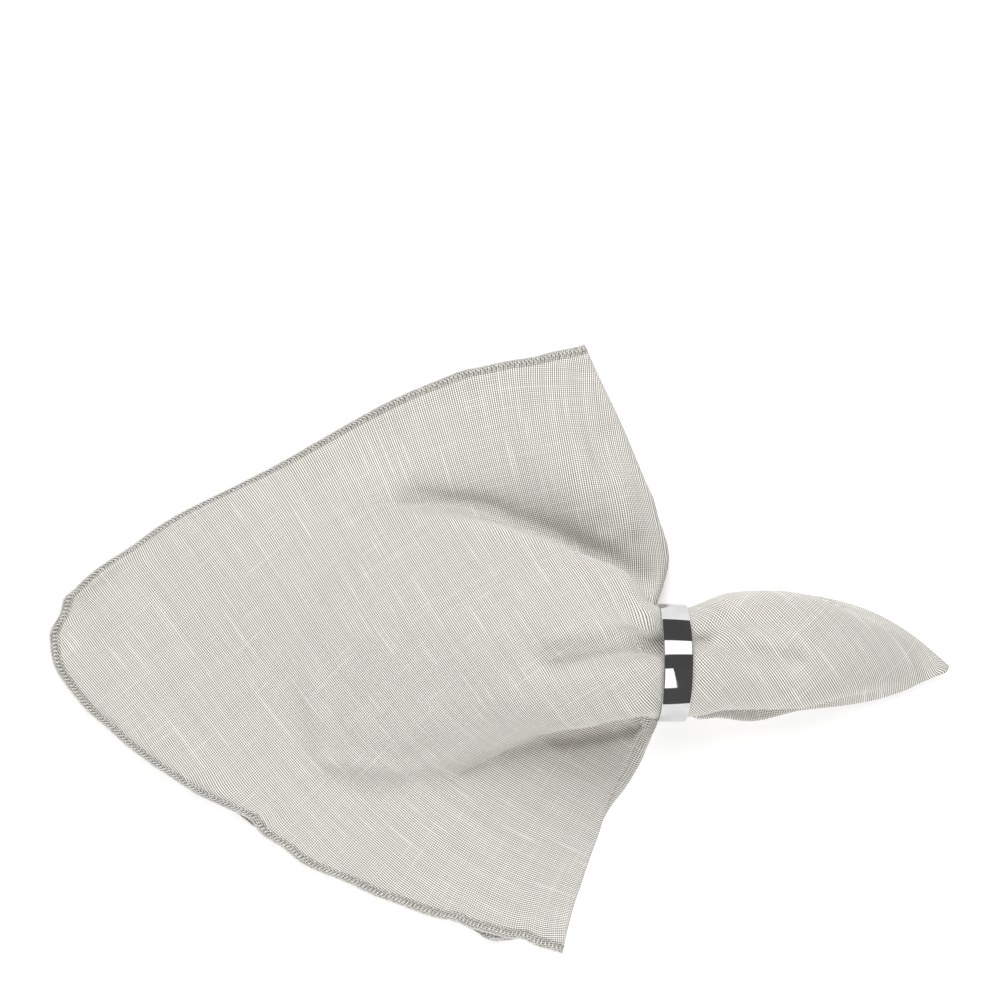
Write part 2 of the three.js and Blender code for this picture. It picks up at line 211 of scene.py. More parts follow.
# %% Hem outline
HEM = table("x y", [
    (28.6, 107.1), (-23.9, 94.2), (-89.3, 60.7), (-142.8, 28.6), (-156.5, 13.5), (-159.6, 2.2),
    (-152.8, -15), (-125, -40.7), (-93, -59.3), (-71.4, -75.7), (-35.7, -91), (19.6, -107.8),
])
CORNER_ROW = 5


def hem_sides(steps=240):
    rows = dict(HEM, run=np.r_[0.0, np.cumsum(np.hypot(np.diff(HEM["x"]), np.diff(HEM["y"])))])
    sides = []
    for first, last in ((0, CORNER_ROW), (CORNER_ROW, -1)):
        run = np.linspace(rows["run"][first], rows["run"][last], steps)
        x, y = curve(rows, "run", "x", run), curve(rows, "run", "y", run)
        sides.append((along_path(x, y), x, y))
    return sides


UPPER_HEM, LOWER_HEM = hem_sides()


def hem_point(share):
    """Where a line from the napkin's centre, at this share of the quarter turn, meets the hem."""
    turn = share * np.pi / 2
    up = np.tan(np.minimum(turn, np.pi / 4))
    down = 1 - np.tan(np.minimum(np.pi / 2 - turn, np.pi / 4))
    x = np.where(share <= 0.5, np.interp(up, *UPPER_HEM[:2]), np.interp(down, *LOWER_HEM[:2]))
    y = np.where(share <= 0.5, np.interp(up, *UPPER_HEM[::2]), np.interp(down, *LOWER_HEM[::2]))
    return x, y


print("hem runs over", len(HEM["x"]), "points")

# %% [markdown]
# ## Lines from the ring to the hem
# Each row of the next table is one line of the cloth. `reach` is where it has come down to the
# table and `land` how steeply it arrives, `lead` how straight it leaves the ring, the two bows how
# far it swings sideways and `at` where most, `flare` and `puff` how it bulges beside the ring, and
# `up` where its tuck opens.

# %% Lines of the skirt
LINES = table("share reach land lead bow_x bow_y at flare puff up", [
    (0, 0.28, 0, 3.2, 10.2, 0, 0.33, 0, 0, 0.1),
    (0.063, 0.26, 0, 4.5, 5, 11, 0.27, 0, 1, 0.1),
    (0.115, 0.26, 0, 6, 2, 11, 0.26, 0, 1.5, 0.1),
    (0.15, 0.32, 0.2, 6, 1.4, 9.8, 0.26, 0, 1.4, 0.1),
    (0.18, 0.41, 0.5, 6, 0.8, 9.4, 0.26, 0, 3.2, 0.1),
    (0.21, 0.53, 0.7, 5.7, 0.2, 11, 0.27, 0, 6.8, 0.1),
    (0.25, 0.61, 0.8, 5.3, 0, 14.5, 0.28, 0, 10.4, 0.1),
    (0.3, 0.67, 0.6, 5, 0, 16, 0.29, 0, 10.6, 0.11),
    (0.4, 0.76, 0.15, 5, 0, 14, 0.32, 0, 5.8, 0.13),
    (0.5, 0.8, 0, 5.5, 0, 10, 0.36, 0, 1, 0.16),
    (0.6, 0.8, 0, 5.5, 0, 4, 0.38, 0, 0, 0.2),
    (0.7, 0.76, 0, 5, 0, 3.2, 0.38, 0, -2.6, 0.22),
    (0.76, 0.7, 0, 5, 0, 4.6, 0.36, 0, -4.2, 0.22),
    (0.795, 0.57, 0.1, 5.2, 0, 7.2, 0.36, 0.2, -3.4, 0.22),
    (0.825, 0.43, 0.2, 5.4, 0, 10, 0.36, 0.45, 0.8, 0.22),
    (0.855, 0.33, 0.2, 5.5, 0, 11.3, 0.36, 0.7, 3, 0.22),
    (0.885, 0.28, 0, 5.5, 0, 10.5, 0.37, 1, 3.2, 0.22),
    (0.937, 0.27, 0, 4.5, -1.5, 5, 0.4, 1.2, 1, 0.22),
    (1, 0.28, 0, 3.2, -3.6, 0, 0.6, 1.4, 0, 0.22),
])
FLARE_AT, FLARE_FADE = 0.2, 0.2
PUFF_AT, PUFF_FADE = 0.055, 0.14
DRIFT_SHARE, DRIFT_OVER = 0.07, 0.38
PILLOW_UPPER, PILLOW_LOWER, PILLOW_FROM, PILLOW_RIM, PILLOW_OVER = 0.8, 1.8, 0.09, 0.16, 0.4
SWELL_RISE, SWELL_SHARE, SWELL_WIDTH, SWELL_AT, SWELL_REACH = 7.0, 0.085, 0.05, 0.4, 0.2
TUCK_OPEN, LEAD_OVER = 0.45, 0.05
MOUTH, MOUTH_OVER, MOUTH_FADE = 0.14, 0.008, 0.16
print(len(LINES["share"]), "lines from the ring to the hem")

# %% [markdown]
# ## Wings and valleys
# The two folded edges of the fan stand out as wings, with a valley between each wing and the
# raised pillow. One table fills the wings out. Two more say, along X, where the foot of the pillow
# is and how far it is pulled in, so that the valleys lie where the photo has them.

# %% Wings and valleys
WINGS = table("go upper lower", [
    (0, 0, 0), (0.06, 2.2, 1.6), (0.1, 3.7, 2.5), (0.14, 4.5, 2.7), (0.18, 5, 2.3),
    (0.22, 5.3, 1.9), (0.26, 4.8, 1.2), (0.3, 3.8, 0.9), (0.36, 2.7, 0.9), (0.44, 2.5, 2),
    (0.5, 1.6, 2.8), (0.6, 0.9, 3.1), (0.7, 0.6, 3), (0.82, 0.2, 2.2), (1, 0.2, 1.5),
])
WING_WIDTH = 0.1
UPPER_FLANK = table("x foot pull width", [
    (-90, 62, 0, 14), (-58, 62, 2, 14), (-28, 60.7, 7, 14), (-7, 59.3, 9.5, 14),
    (7, 54.6, 10, 14), (22, 45.7, 7, 14), (39, 35, 3, 14), (52, 28, 0, 14),
])
LOWER_FLANK = table("x foot pull width", [
    (-62, -52, 0, 12), (-44, -52, -1.2, 12), (-31, -53, -3.6, 13), (-20, -54.5, -6.8, 14),
    (-12, -52.5, -8.2, 14), (-4, -49, -8.4, 14), (3, -45.5, -7.8, 13), (9, -41, -6.6, 12),
    (15, -37.6, -5.6, 10), (24, -34.8, -4.2, 8), (38, -31, -3.4, 8), (48, -28.8, -1.6, 8),
    (55, -27.2, 0, 8),
])
print(len(UPPER_FLANK["x"]) + len(LOWER_FLANK["x"]), "places along the valleys")


# %% The skirt and the whole drape
def swing(f, at):
    back = np.cos(np.pi / 2 * np.clip((f - at) / (1 - at), 0, 1))
    return np.where(f < at, smooth(f / at), back)


def near(f, at, fade):
    return smooth(f / at) * hump(np.maximum(f - at, 0) / fade)


def skirt(f, share):
    """Points of the fan, from the ring (f is 0) to the hem (f is 1)."""
    line = {name: curve(LINES, "share", name, share) for name in LINES}
    led = 1 - np.exp(-f / LEAD_OVER)
    go = (f - LEAD_OVER * led) / (1 - LEAD_OVER)
    drift = DRIFT_SHARE * np.sin(2 * np.pi * share) * smooth(go / DRIFT_OVER)
    ring_y, ring_z = ring_section(share - drift, hump(go / TROUGH_REACH))
    mouth = 1 + MOUTH * (1 - np.exp(-go / MOUTH_OVER)) * (1 - smooth(go / MOUTH_FADE))
    arch = np.sin(np.pi * share)
    power = mix(PILLOW_UPPER, PILLOW_LOWER, smooth(2 * share - 0.5))
    pillow = arch**power * smooth((np.minimum(share, 1 - share) - PILLOW_FROM) / PILLOW_RIM)
    bell = FOOT_Z + (CROWN_Z - FOOT_Z) * mix(arch**2, pillow, smooth(go / PILLOW_OVER))
    y = mix(ring_y * mouth, ARCH_HALF * (1 - 2 * share), smooth(go / TUCK_OPEN))
    z = mix(ring_z * mouth, bell, smooth(go / line["up"]))
    end_x, end_y = hem_point(share)
    swung = swing(go, line["at"])
    flare = line["flare"] * near(go, FLARE_AT, FLARE_FADE)
    puff = line["puff"] * near(go, PUFF_AT, PUFF_FADE)
    ahead = line["lead"] * led * (1 - go)
    wing = sum(
        curve(WINGS, "go", side, go) * hump((share - edge) / WING_WIDTH)
        for side, edge in (("upper", 0.0), ("lower", 1.0))
    )
    aside, ahead_of = (share - SWELL_SHARE) / SWELL_WIDTH, (go - SWELL_AT) / SWELL_REACH
    swell = SWELL_RISE * np.exp(-(aside**2) - ahead_of**2)
    fallen = np.clip(go / line["reach"], 0, 1)
    landed = mix(smooth(fallen), fallen**2, line["land"])
    x = mix(NECK_X + RING_LEAN * z, end_x, go) + line["bow_x"] * swung + flare + wing - ahead
    y = mix(RING_Y + y, end_y, go) + line["bow_y"] * swung + puff
    for flank in (UPPER_FLANK, LOWER_FLANK):
        from_foot = (y - curve(flank, "x", "foot", x)) / curve(flank, "x", "width", x)
        y = y - curve(flank, "x", "pull", x) * hump(from_foot)
    return np.stack([x, y, mix(RING_Z + z, REST, landed) + swell], -1)


def middle(along, share):
    """The middle of the four layers, before any small crease."""
    along, share = np.broadcast_arrays(np.asarray(along, float), np.asarray(share, float))
    on_tail = (along <= 1)[..., None]
    before = tail(np.clip(along, 0, 1), share)
    after = skirt(np.clip(along - 1, 0, 1), share)
    return np.where(on_tail, before, after)


far_line = middle(2, 0.5) - middle(1, 0.5)
print("line to the far corner is", round(float(np.linalg.norm(far_line))), "mm")

# %% [markdown]
# ## Directions on the sheet
# To stack four layers and to wrap the folds, each point needs the way out of the cloth (its
# normal) and, at a fold, the way past the edge. Small steps along and across the lines give both.

# %% Normals and edge directions
STEP_ALONG, STEP_SHARE = 0.02, 0.004


def unit(v):
    return v / np.maximum(np.linalg.norm(v, axis=-1, keepdims=True), 1e-9)


def frame_at(along, share):
    """The way out of the cloth, the way across its lines and the way along them."""
    along, share = np.broadcast_arrays(np.asarray(along, float), np.asarray(share, float))
    after, before = np.minimum(along + STEP_ALONG, 2), np.maximum(along - STEP_ALONG, 0)
    run = unit(middle(after, share) - middle(before, share))
    higher, lower = np.minimum(share + STEP_SHARE, 1), np.maximum(share - STEP_SHARE, 0)
    over = middle(along, higher) - middle(along, lower)
    out = unit(over - run * (over * run).sum(-1, keepdims=True))
    return np.cross(run, out), out, run


print("crown points up:", frame_at(1.3, 0.5)[0].round(2))

# %% [markdown]
# ## Creases set one by one
# The photo's smaller marks are laid on as soft ridges (plus) and dents (minus), each a short line
# on the table with a width and a height. Where the stack lies on the table the top layer takes
# them fully and the layers below less and less, so the stack opens a little as loose cloth does,
# and no dent goes deeper than the stack allows. Where the cloth hangs free, all four layers move
# together.

# %% Creases
CREASES = table("x0 y0 x1 y1 width height above", [
    (-138, -22, -95, -53, 4.2, 1.5, 0), (-128, -22, -98, -43, 6, -0.7, 0),
    (-147, 22, -137, 30, 3, 1.3, 0), (-156, 8, -149, 16, 2.5, -0.6, 0),
    (31, 98, 38, 44, 3.5, -1.8, 0), (37, 98, 47, 42, 3, 1.2, 0),
    (-66, -13, -62, -42, 4, 0.9, 0), (-74, -12, -70, -40, 5, -0.6, 0),
    (-55, 34, -78, 2, 9, -0.8, 0), (-6, -40.2, -33, -49.4, 3.6, -1, 0),
    (-12, -36.5, -35, -43.9, 3.5, 1.2, 0), (-39.5, -50.3, -58, -48, 4.4, -2.4, 0),
    (-42, -42.8, -60, -40.5, 4.4, 1.4, 0), (-48, -33, 6, -25, 9, 2, 0),
    (-86, -62, -80, -52, 2.5, -0.8, 0), (-95, -5, -120, 4, 8, -0.5, 0),
    (-20, 96, -12, 84, 3, 0.7, 0), (50.5, 23.5, 40, 30.2, 4.2, -2.9, 0),
    (34, 33, 23.5, 37.4, 4.4, -2.7, 0), (17, 40, -1, 46.6, 4.8, -3, 0),
    (-8, 48.6, -30, 52.5, 5.5, -3.2, 0), (14, 31, -8, 38.5, 4.5, 1.2, 0),
    (-15, 40, -33, 43.5, 5, 1.2, 0), (49.5, -27, 22.5, -31.8, 3, -4.2, 0),
    (17.2, -32.6, 3, -36.6, 3.4, -1.4, 0), (52, -21.4, 16, -28, 3.2, 1.8, 15),
    (58, -1, 18, -6.4, 4.2, -5.4, 24), (54, 7.8, 18, 2.2, 4.4, 1.6, 24),
    (71.5, -1, 102, -7.2, 3.4, -3.2, 20),
])
LAYER_FOLLOWS = (1.0, 0.67, 0.33, 0.0)
FREE_FROM, FREE_OVER = 2.0, 4.0
MOST_DENT = 2.4
CREASE_FADE = 5.0


def free(z):
    """0 where the stack lies on the table, 1 where it hangs free of it."""
    return smooth((z - REST - FREE_FROM) / FREE_OVER)


def crease_relief(points):
    """How far the creases lift the cloth at these points; some only above a given height."""
    x, y, z = np.moveaxis(points, -1, 0)
    total = np.zeros_like(x)
    for x0, y0, x1, y1, width, height, above in zip(*CREASES.values()):
        run = np.array([x1 - x0, y1 - y0])
        length = np.hypot(*run)
        t = ((x - x0) * run[0] + (y - y0) * run[1]) / length**2
        off = ((x - x0) * run[1] - (y - y0) * run[0]) / length
        past = np.maximum(np.maximum(-t, t - 1), 0) * length
        shape = np.exp(-(off**2 + past**2) / width**2)
        total += height * shape * smooth((z - above) / CREASE_FADE + 1)
    return np.maximum(total, -np.maximum(MOST_DENT * (1 - free(z)), z - REST))


def follows(layer, z):
    """How far a layer takes the creases: all alike where the cloth hangs free of the table."""
    return mix(LAYER_FOLLOWS[layer], 1.0, free(z))


print(len(CREASES["x0"]), "creases")

# %% [markdown]
# ## A hem that wanders
# A sewn edge is never straight: the overlock puckers it, so it ripples up and down, wanders in and
# out by a millimetre or two, and rolls down along the upper side. One table holds the ripples, a
# second how far the edge rolls, a low ridge runs just inside the stitches, and the second layer
# peeks out in one place.

# %% Ripples, roll and peek of the hem
RIPPLES = table("share width lift out", [
    (0.04, 0.02, 0.6, 0), (0.05, 0.015, 0, -0.6), (0.08, 0.1, 0, 1.2),
    (0.11, 0.03, 1, 0), (0.12, 0.012, 0.5, 0.5), (0.19, 0.03, 0.7, 0),
    (0.29, 0.03, 0.6, 0), (0.31, 0.05, 0, -0.4), (0.37, 0.03, 0.8, 0),
    (0.43, 0.022, 0.4, -2.3), (0.455, 0.01, 1.5, 0.3), (0.4755, 0.004, 1, 0.9),
    (0.486, 0.005, -0.4, -0.7), (0.4955, 0.004, 0.9, 0.6), (0.516, 0.012, 1.6, 0.9),
    (0.54, 0.009, 0.9, -0.3), (0.56, 0.012, 0.3, -1.1), (0.6, 0.02, 1.1, 0),
    (0.64, 0.018, 0.4, 1.6), (0.68, 0.01, 0.8, -1.6), (0.695, 0.007, 1.2, 0.3),
    (0.72, 0.012, 0.3, -0.9), (0.735, 0.012, 1.4, 0), (0.777, 0.022, 0.4, -0.9),
    (0.81, 0.012, 0.6, 0.2), (0.865, 0.02, 0.9, 0.2), (0.89, 0.008, 0.3, -0.9),
    (0.92, 0.012, 1.2, 0), (0.96, 0.009, 0.4, -1.2),
])
RIPPLE_REACH, WANDER_REACH = 13.0, 12.0
ROLL = table("share drop", [
    (0, 0.3), (0.06, 0.7), (0.14, 1.3), (0.25, 2), (0.36, 2), (0.43, 1.1),
    (0.48, 0.3), (0.6, 0.1), (1, 0),
])
ROLL_REACH = 2.4
RIDGE, RIDGE_AT, RIDGE_REACH = 0.35, 5.0, 1.5
PEEK_LAYER, PEEK_SHARE, PEEK_WIDTH, PEEK_OUT = 1, 0.932, 0.016, 2.5
HEM_STEP = 0.02


def inset_of(along, share):
    """How far a point lies inside the hem."""
    last = middle(2.0, share) - middle(2.0 - HEM_STEP, share)
    pace = np.linalg.norm(last, axis=-1) / HEM_STEP
    return (2 - along) * pace


def hem_relief(along, share, layer):
    """How far the hem lifts the cloth, and how far it pushes it out, at these points."""
    inset = inset_of(along, share)
    lift, out = np.zeros_like(inset), np.zeros_like(inset)
    for centre, width, up, past in zip(*RIPPLES.values()):
        bump = hump((share - centre) / width)
        lift, out = lift + up * bump, out + past * bump
    lift = lift * hump(inset / RIPPLE_REACH)
    lift = lift - curve(ROLL, "share", "drop", share) * hump(inset / ROLL_REACH)
    lift = lift + RIDGE * hump((inset - RIDGE_AT) / RIDGE_REACH)
    if layer == PEEK_LAYER:
        out = out + PEEK_OUT * hump((share - PEEK_SHARE) / PEEK_WIDTH)
    return lift, out * hump(inset / WANDER_REACH)


print(len(RIPPLES["share"]), "hem ripples")

# %% [markdown]
# ## One sheet, folded twice
# The loop round the stack at one station goes: top layer, lower fold, second layer, upper fold,
# third layer, lower fold, bottom layer, upper fold. `turn_u` and `turn_v` say how far round each
# fold a point is. Beside the ring the lower two layers have slipped out a little at the lower fold
# and are lifted with it.

# %% The layers of the quarter fold
LAYERS = ((0.0, 0.0), (np.pi, 0.0), (np.pi, np.pi), (0.0, np.pi))
SLIP_OUT, SLIP_SHARE, SLIP_LIFT = 3.8, 0.94, 0.7
SLIP_FROM, SLIP_FULL, SLIP_FADE, SLIP_TO = 0.03, 0.2, 0.3, 0.5
FOLD_STEPS = 6
FOLD_TURNS = np.pi * np.arange(1, FOLD_STEPS) / FOLD_STEPS


def slipped(along, share):
    f = along - 1
    comes = smooth((f - SLIP_FROM) / (SLIP_FULL - SLIP_FROM))
    goes = smooth((f - SLIP_FADE) / (SLIP_TO - SLIP_FADE))
    return SLIP_OUT * comes * (1 - goes) * smooth((share - SLIP_SHARE) / (1 - SLIP_SHARE))


def stacked(face, turn_u, turn_v):
    """Height over the stack's middle, and reach past each fold, of one face of the sheet."""
    small = PITCH / 2 + face * SHEET / 2
    large = PITCH + small * np.cos(turn_u)
    return large * np.cos(turn_v), small * np.sin(turn_u), large * np.sin(turn_v)


def layer_points(face, layer, along, share):
    turn_u, turn_v = LAYERS[layer]
    normal, out, run = frame_at(along, share)
    centre = middle(along, share)
    lift, push = hem_relief(*np.broadcast_arrays(along, share), layer)
    centre = centre + run * push[..., None]
    height = stacked(face, turn_u, turn_v)[0]
    if turn_v > 0:
        slip = slipped(along, share)
        centre = centre + out * slip[..., None]
        height = height + SLIP_LIFT * slip / SLIP_OUT
    relief = crease_relief(centre) + lift
    return centre + normal * (height + follows(layer, centre[..., 2]) * relief)[..., None]


def fold_points(face, layer, along):
    """The bend from one layer to the next, at each station."""
    lower = layer in (0, 2)
    share = 1.0 if lower else 0.0
    stations = np.asarray(along, float)[:, None]
    normal, out, run = frame_at(stations, share)
    lift, push = hem_relief(stations, np.full_like(stations, share), layer)
    centre = middle(stations, share) + run * push[..., None]
    turns = FOLD_TURNS if layer in (0, 1) else FOLD_TURNS[::-1]
    part = np.arange(1, FOLD_STEPS) / FOLD_STEPS
    z = centre[..., 2]
    follow = mix(follows(layer, z), follows((layer + 1) % 4, z), part)
    relief = crease_relief(centre) + lift
    if lower:
        if layer == 2:
            centre = centre + out * slipped(stations, share)[..., None]
        height, reach, _ = stacked(face, turns, LAYERS[layer][1])
    else:
        out = -out
        height, _, reach = stacked(face, LAYERS[layer][0], turns)
    if layer == 2:
        height = height + SLIP_LIFT * slipped(stations, share) / SLIP_OUT
    above = height + follow * relief
    past = reach * np.ones_like(stations)
    return centre + out * past[..., None] + normal * above[..., None]


print("layers", PITCH, "mm apart")

# %% [markdown]
# ## Weaving the mesh
# Stations along the cloth and shares across it make a grid of quads on both faces of the sheet.
# The top layer gets most of the grid because it is what shows.

# %% Stations and shares
TAIL_STATIONS, SKIRT_STATIONS, HEM_STATIONS = 52, 92, 16
TIP_START, HEM_FROM = 0.03, 1.945
LAYER_GRID = ((152, 0.7), (36, 1.6), (36, 1.6), (44, 1.2))
TUCKS_AT, TUCK_SPAN = (0.17, 0.83), 0.1
CORNER_AT, CORNER_SPAN = 0.5, 0.03


def spread_shares(count, crowd):
    """Shares from 0 to 1, closer together at the tucks and at the corner."""
    fine = np.linspace(0, 1, 2001)
    tucks = sum(hump((fine - at) / TUCK_SPAN) for at in TUCKS_AT)
    corner = hump((fine - CORNER_AT) / CORNER_SPAN)
    pull = 1 + crowd * tucks + crowd * corner
    run = np.r_[0, np.cumsum((pull[1:] + pull[:-1]) / 2)]
    return np.interp(np.linspace(0, 1, count), run / run[-1], fine)


LAYER_SHARES = [spread_shares(count, crowd) for count, crowd in LAYER_GRID]
STATIONS = np.r_[
    np.linspace(TIP_START, 1, TAIL_STATIONS, endpoint=False),
    np.linspace(1, HEM_FROM, SKIRT_STATIONS, endpoint=False),
    np.linspace(HEM_FROM, 2, HEM_STATIONS),
]

print(len(STATIONS), "stations,", [len(shares) for shares in LAYER_SHARES], "shares a layer")


# %% Mesh helpers
def add_mesh(name, points, faces, flat=None):
    """A smooth mesh object at the origin, from millimetres; a quad with a doubled corner closes."""
    mesh = bpy.data.meshes.new(name)
    corners = [list(dict.fromkeys(face)) for face in faces.tolist()]
    mesh.from_pydata((points * MM).tolist(), [], corners)
    if flat is not None:
        corner = np.empty(len(mesh.loops), int)
        mesh.loops.foreach_get("vertex_index", corner)
        mesh.uv_layers.new(name="flat").data.foreach_set("uv", (flat[corner] * MM).ravel())
    mesh.polygons.foreach_set("use_smooth", [True] * len(mesh.polygons))
    mesh.validate()
    made = bpy.data.objects.new(name, mesh)
    bpy.context.scene.collection.objects.link(made)
    return made


def grid_quads(ids):
    quads = [ids[:-1, :-1], ids[1:, :-1], ids[1:, 1:], ids[:-1, 1:]]
    return np.stack(quads, -1).reshape(-1, 4)


print("mesh helpers ready")

# %% [markdown]
# ## Flattening the cloth
# The weave has to run with the threads of the flat napkin, so each point needs its place there.
# Blender's own unwrapping finds it: a coarse grid of the drape is flattened with as little stretch
# as possible, scaled back to millimetres and turned until the warp runs across the fan as in the
# photo. The four layers lie on each other, so they share this one flat quarter. It becomes the UV
# map, in metres.

# %% Unwrap a coarse grid of the drape
FLAT_TAIL, FLAT_SKIRT, FLAT_ACROSS = 23, 47, 71
FLAT_ALONG = np.r_[
    np.linspace(TIP_START, 1, FLAT_TAIL, endpoint=False),
    np.linspace(1, 2, FLAT_SKIRT),
]
FLAT_SHARE = np.linspace(0, 1, FLAT_ACROSS)
WARP_TURN, WARP_ROW, WARP_COLUMN = math.radians(123.0), 42, 33


def unwrapped(points):
    """The flat places of a grid of points, at the grid's own scale."""
    ids = np.arange(points.shape[0] * points.shape[1]).reshape(points.shape[:2])
    grid = add_mesh("flat_quarter", points.reshape(-1, 3), grid_quads(ids))
    bpy.ops.object.select_all(action="DESELECT")
    grid.select_set(True)
    bpy.context.view_layer.objects.active = grid
    bpy.ops.object.mode_set(mode="EDIT")
    bpy.ops.mesh.select_all(action="SELECT")
    bpy.ops.uv.unwrap(method="MINIMUM_STRETCH", margin=0.0)
    bpy.ops.object.mode_set(mode="OBJECT")
    loops = len(grid.data.loops)
    corner, places = np.empty(loops, int), np.empty(2 * loops)
    grid.data.loops.foreach_get("vertex_index", corner)
    grid.data.uv_layers.active.data.foreach_get("uv", places)
    flat = np.zeros((ids.size, 2))
    flat[corner] = places.reshape(-1, 2)
    bpy.data.meshes.remove(grid.data)
    flat = flat.reshape(*ids.shape, 2)
    gaps = [np.linalg.norm(np.diff(part, axis=0), axis=-1) for part in (points, flat)]
    return flat * np.median(gaps[0] / gaps[1])


drape_grid = middle(FLAT_ALONG[:, None], FLAT_SHARE[None, :])
flat_grid = unwrapped(drape_grid)
plan = [
    np.gradient(part, axis=axis)[WARP_ROW, WARP_COLUMN][:2]
    for part in (drape_grid, flat_grid)
    for axis in (0, 1)
]
steps = np.linalg.solve(np.stack(plan[:2], -1), [math.cos(WARP_TURN), math.sin(WARP_TURN)])
warp = unit(steps[0] * plan[2] + steps[1] * plan[3])
FLAT = flat_grid @ np.array([[warp[0], -warp[1]], [warp[1], warp[0]]])
print("flat quarter is", np.ptp(FLAT.reshape(-1, 2), axis=0).round(), "mm")


# %% Look up flat places
EDGE_STEP = 0.02


def flat_at(along, share):
    """The flat place of any point, between those of the coarse grid."""
    row = np.interp(along, FLAT_ALONG, np.arange(len(FLAT_ALONG)))
    column = np.interp(share, FLAT_SHARE, np.arange(len(FLAT_SHARE)))
    i = np.minimum(row.astype(int), len(FLAT_ALONG) - 2)
    j = np.minimum(column.astype(int), len(FLAT_SHARE) - 2)
    s, t = (row - i)[..., None], (column - j)[..., None]
    near_side = mix(FLAT[i, j], FLAT[i + 1, j], s)
    far_side = mix(FLAT[i, j + 1], FLAT[i + 1, j + 1], s)
    return mix(near_side, far_side, t)


def fold_flat(share, path):
    """Flat places round a fold: out past the edge to the middle of the bend, and back."""
    inside = flat_at(STATIONS, np.full_like(STATIONS, abs(share - EDGE_STEP)))
    edge = flat_at(STATIONS, np.full_like(STATIONS, share))
    run = np.cumsum(np.linalg.norm(np.diff(path, axis=1), axis=-1), axis=1)
    past = np.minimum(run[:, :-1], run[:, -1:] - run[:, :-1])
    return edge[:, None] + unit(edge - inside)[:, None] * past[..., None]


print("far corner lies at", flat_at(np.array(2.0), np.array(0.5)).round(), "mm")

# %% Build the sheet
TIP_STEP = 0.02


def sheet_grid(face):
    """All stations of the loop round the stack: points, flat places and depth inside the hem."""
    points, flat, inset = [], [], []
    for layer in range(4):
        share = LAYER_SHARES[layer] if layer in (0, 2) else LAYER_SHARES[layer][::-1]
        along, across = np.broadcast_arrays(STATIONS[:, None], share[None, :])
        points.append(layer_points(face, layer, along, across))
        flat.append(flat_at(along, across))
        inset.append(inset_of(along, across))
    columns, places, depths = [], [], []
    for layer in range(4):
        bend = fold_points(face, layer, STATIONS)
        after = (layer + 1) % 4
        path = np.concatenate([points[layer][:, -1:], bend, points[after][:, :1]], 1)
        columns += [points[layer], bend]
        places += [flat[layer], fold_flat(1.0 if layer in (0, 2) else 0.0, path)]
        depths += [inset[layer], np.repeat(inset[layer][:, -1:], bend.shape[1], 1)]
    return tuple(np.concatenate(part, 1) for part in (columns, places, depths))


def tip_patch(face):
    """The folded centre, where both folds meet in one small cap."""
    turns = np.pi * np.arange(FOLD_STEPS + 1) / FOLD_STEPS
    level = np.array([1.0, 1.0, 0.0])
    out_u = unit(frame_at(TIP_STEP, 1.0)[1] * level)
    out_v = unit(-frame_at(TIP_STEP, 0.0)[1] * level)
    height, past_u, past_v = stacked(face, turns[:, None], turns[None, :])
    past_u = past_u * np.ones_like(height)
    cap = middle(0.0, 0.5) + past_u[..., None] * out_u + past_v[..., None] * out_v
    flat = flat_at(np.array(0.0), np.array(0.5)) - np.stack([past_u, past_v], -1)
    return cap + height[..., None] * np.array([0.0, 0.0, 1.0]), flat


def tip_rim(patch):
    """The cap's border, one corner for each layer, in the same order as the loop."""
    last = FOLD_STEPS
    corners = ((0, 0), (last, 0), (last, last), (0, last))
    sides = (
        [(k, 0) for k in range(1, last)], [(last, k) for k in range(1, last)],
        [(last - k, last) for k in range(1, last)], [(0, last - k) for k in range(1, last)],
    )
    rim = []
    for layer in range(4):
        rim += [patch[corners[layer]]] * len(LAYER_SHARES[layer])
        rim += [patch[cell] for cell in sides[layer]]
    return np.array(rim)


print("loop builders ready")

# %% Join the faces into one closed sheet
def napkin_mesh():
    points, flat, depth, faces, hems = [], [], [], [], []
    start = 0
    for face in (1, -1):
        grid, place, inset = sheet_grid(face)
        cap, cap_place = tip_patch(face)
        cap_ids = start + np.arange(cap[..., 0].size).reshape(cap.shape[:2])
        ids = start + cap_ids.size + np.arange(inset.size).reshape(inset.shape)
        start = ids[-1, -1] + 1
        points += [cap.reshape(-1, 3), grid.reshape(-1, 3)]
        flat += [cap_place.reshape(-1, 2), place.reshape(-1, 2)]
        depth += [np.full(cap_ids.size, inset.max()), inset.ravel()]
        loops = np.vstack([tip_rim(cap_ids)[None], ids])
        turned = np.roll(loops, -1, axis=1)
        skin = np.stack([loops[:-1], loops[1:], turned[1:], turned[:-1]], -1).reshape(-1, 4)
        both = np.vstack([grid_quads(cap_ids), skin])
        faces.append(both if face > 0 else both[:, ::-1])
        hems.append(ids[-1])
    outer, inner = hems
    faces.append(np.stack([outer, inner, np.roll(inner, -1), np.roll(outer, -1)], -1))
    return np.vstack(points), np.vstack(faces), np.vstack(flat), np.concatenate(depth)


cloth_points, cloth_faces, cloth_flat, cloth_inset = napkin_mesh()
napkin = add_mesh("napkin_cloth", cloth_points, cloth_faces, cloth_flat)
hem_inset = napkin.data.attributes.new("hem_inset", "FLOAT", "POINT")
hem_inset.data.foreach_set("value", cloth_inset)
print("napkin:", len(napkin.data.polygons), "faces")

# %% [markdown]
# ## The overlocked hem
# The napkin's edge is closed by an overlock stitch: a thread that zigzags over each face, a needle
# row that pins them down and a chain that locks them along the very edge. It is real thread, so it
# is modelled as thin tubes: the path of each thread is worked out stitch by stitch along the hem,
# then a small polygon is swept along it.

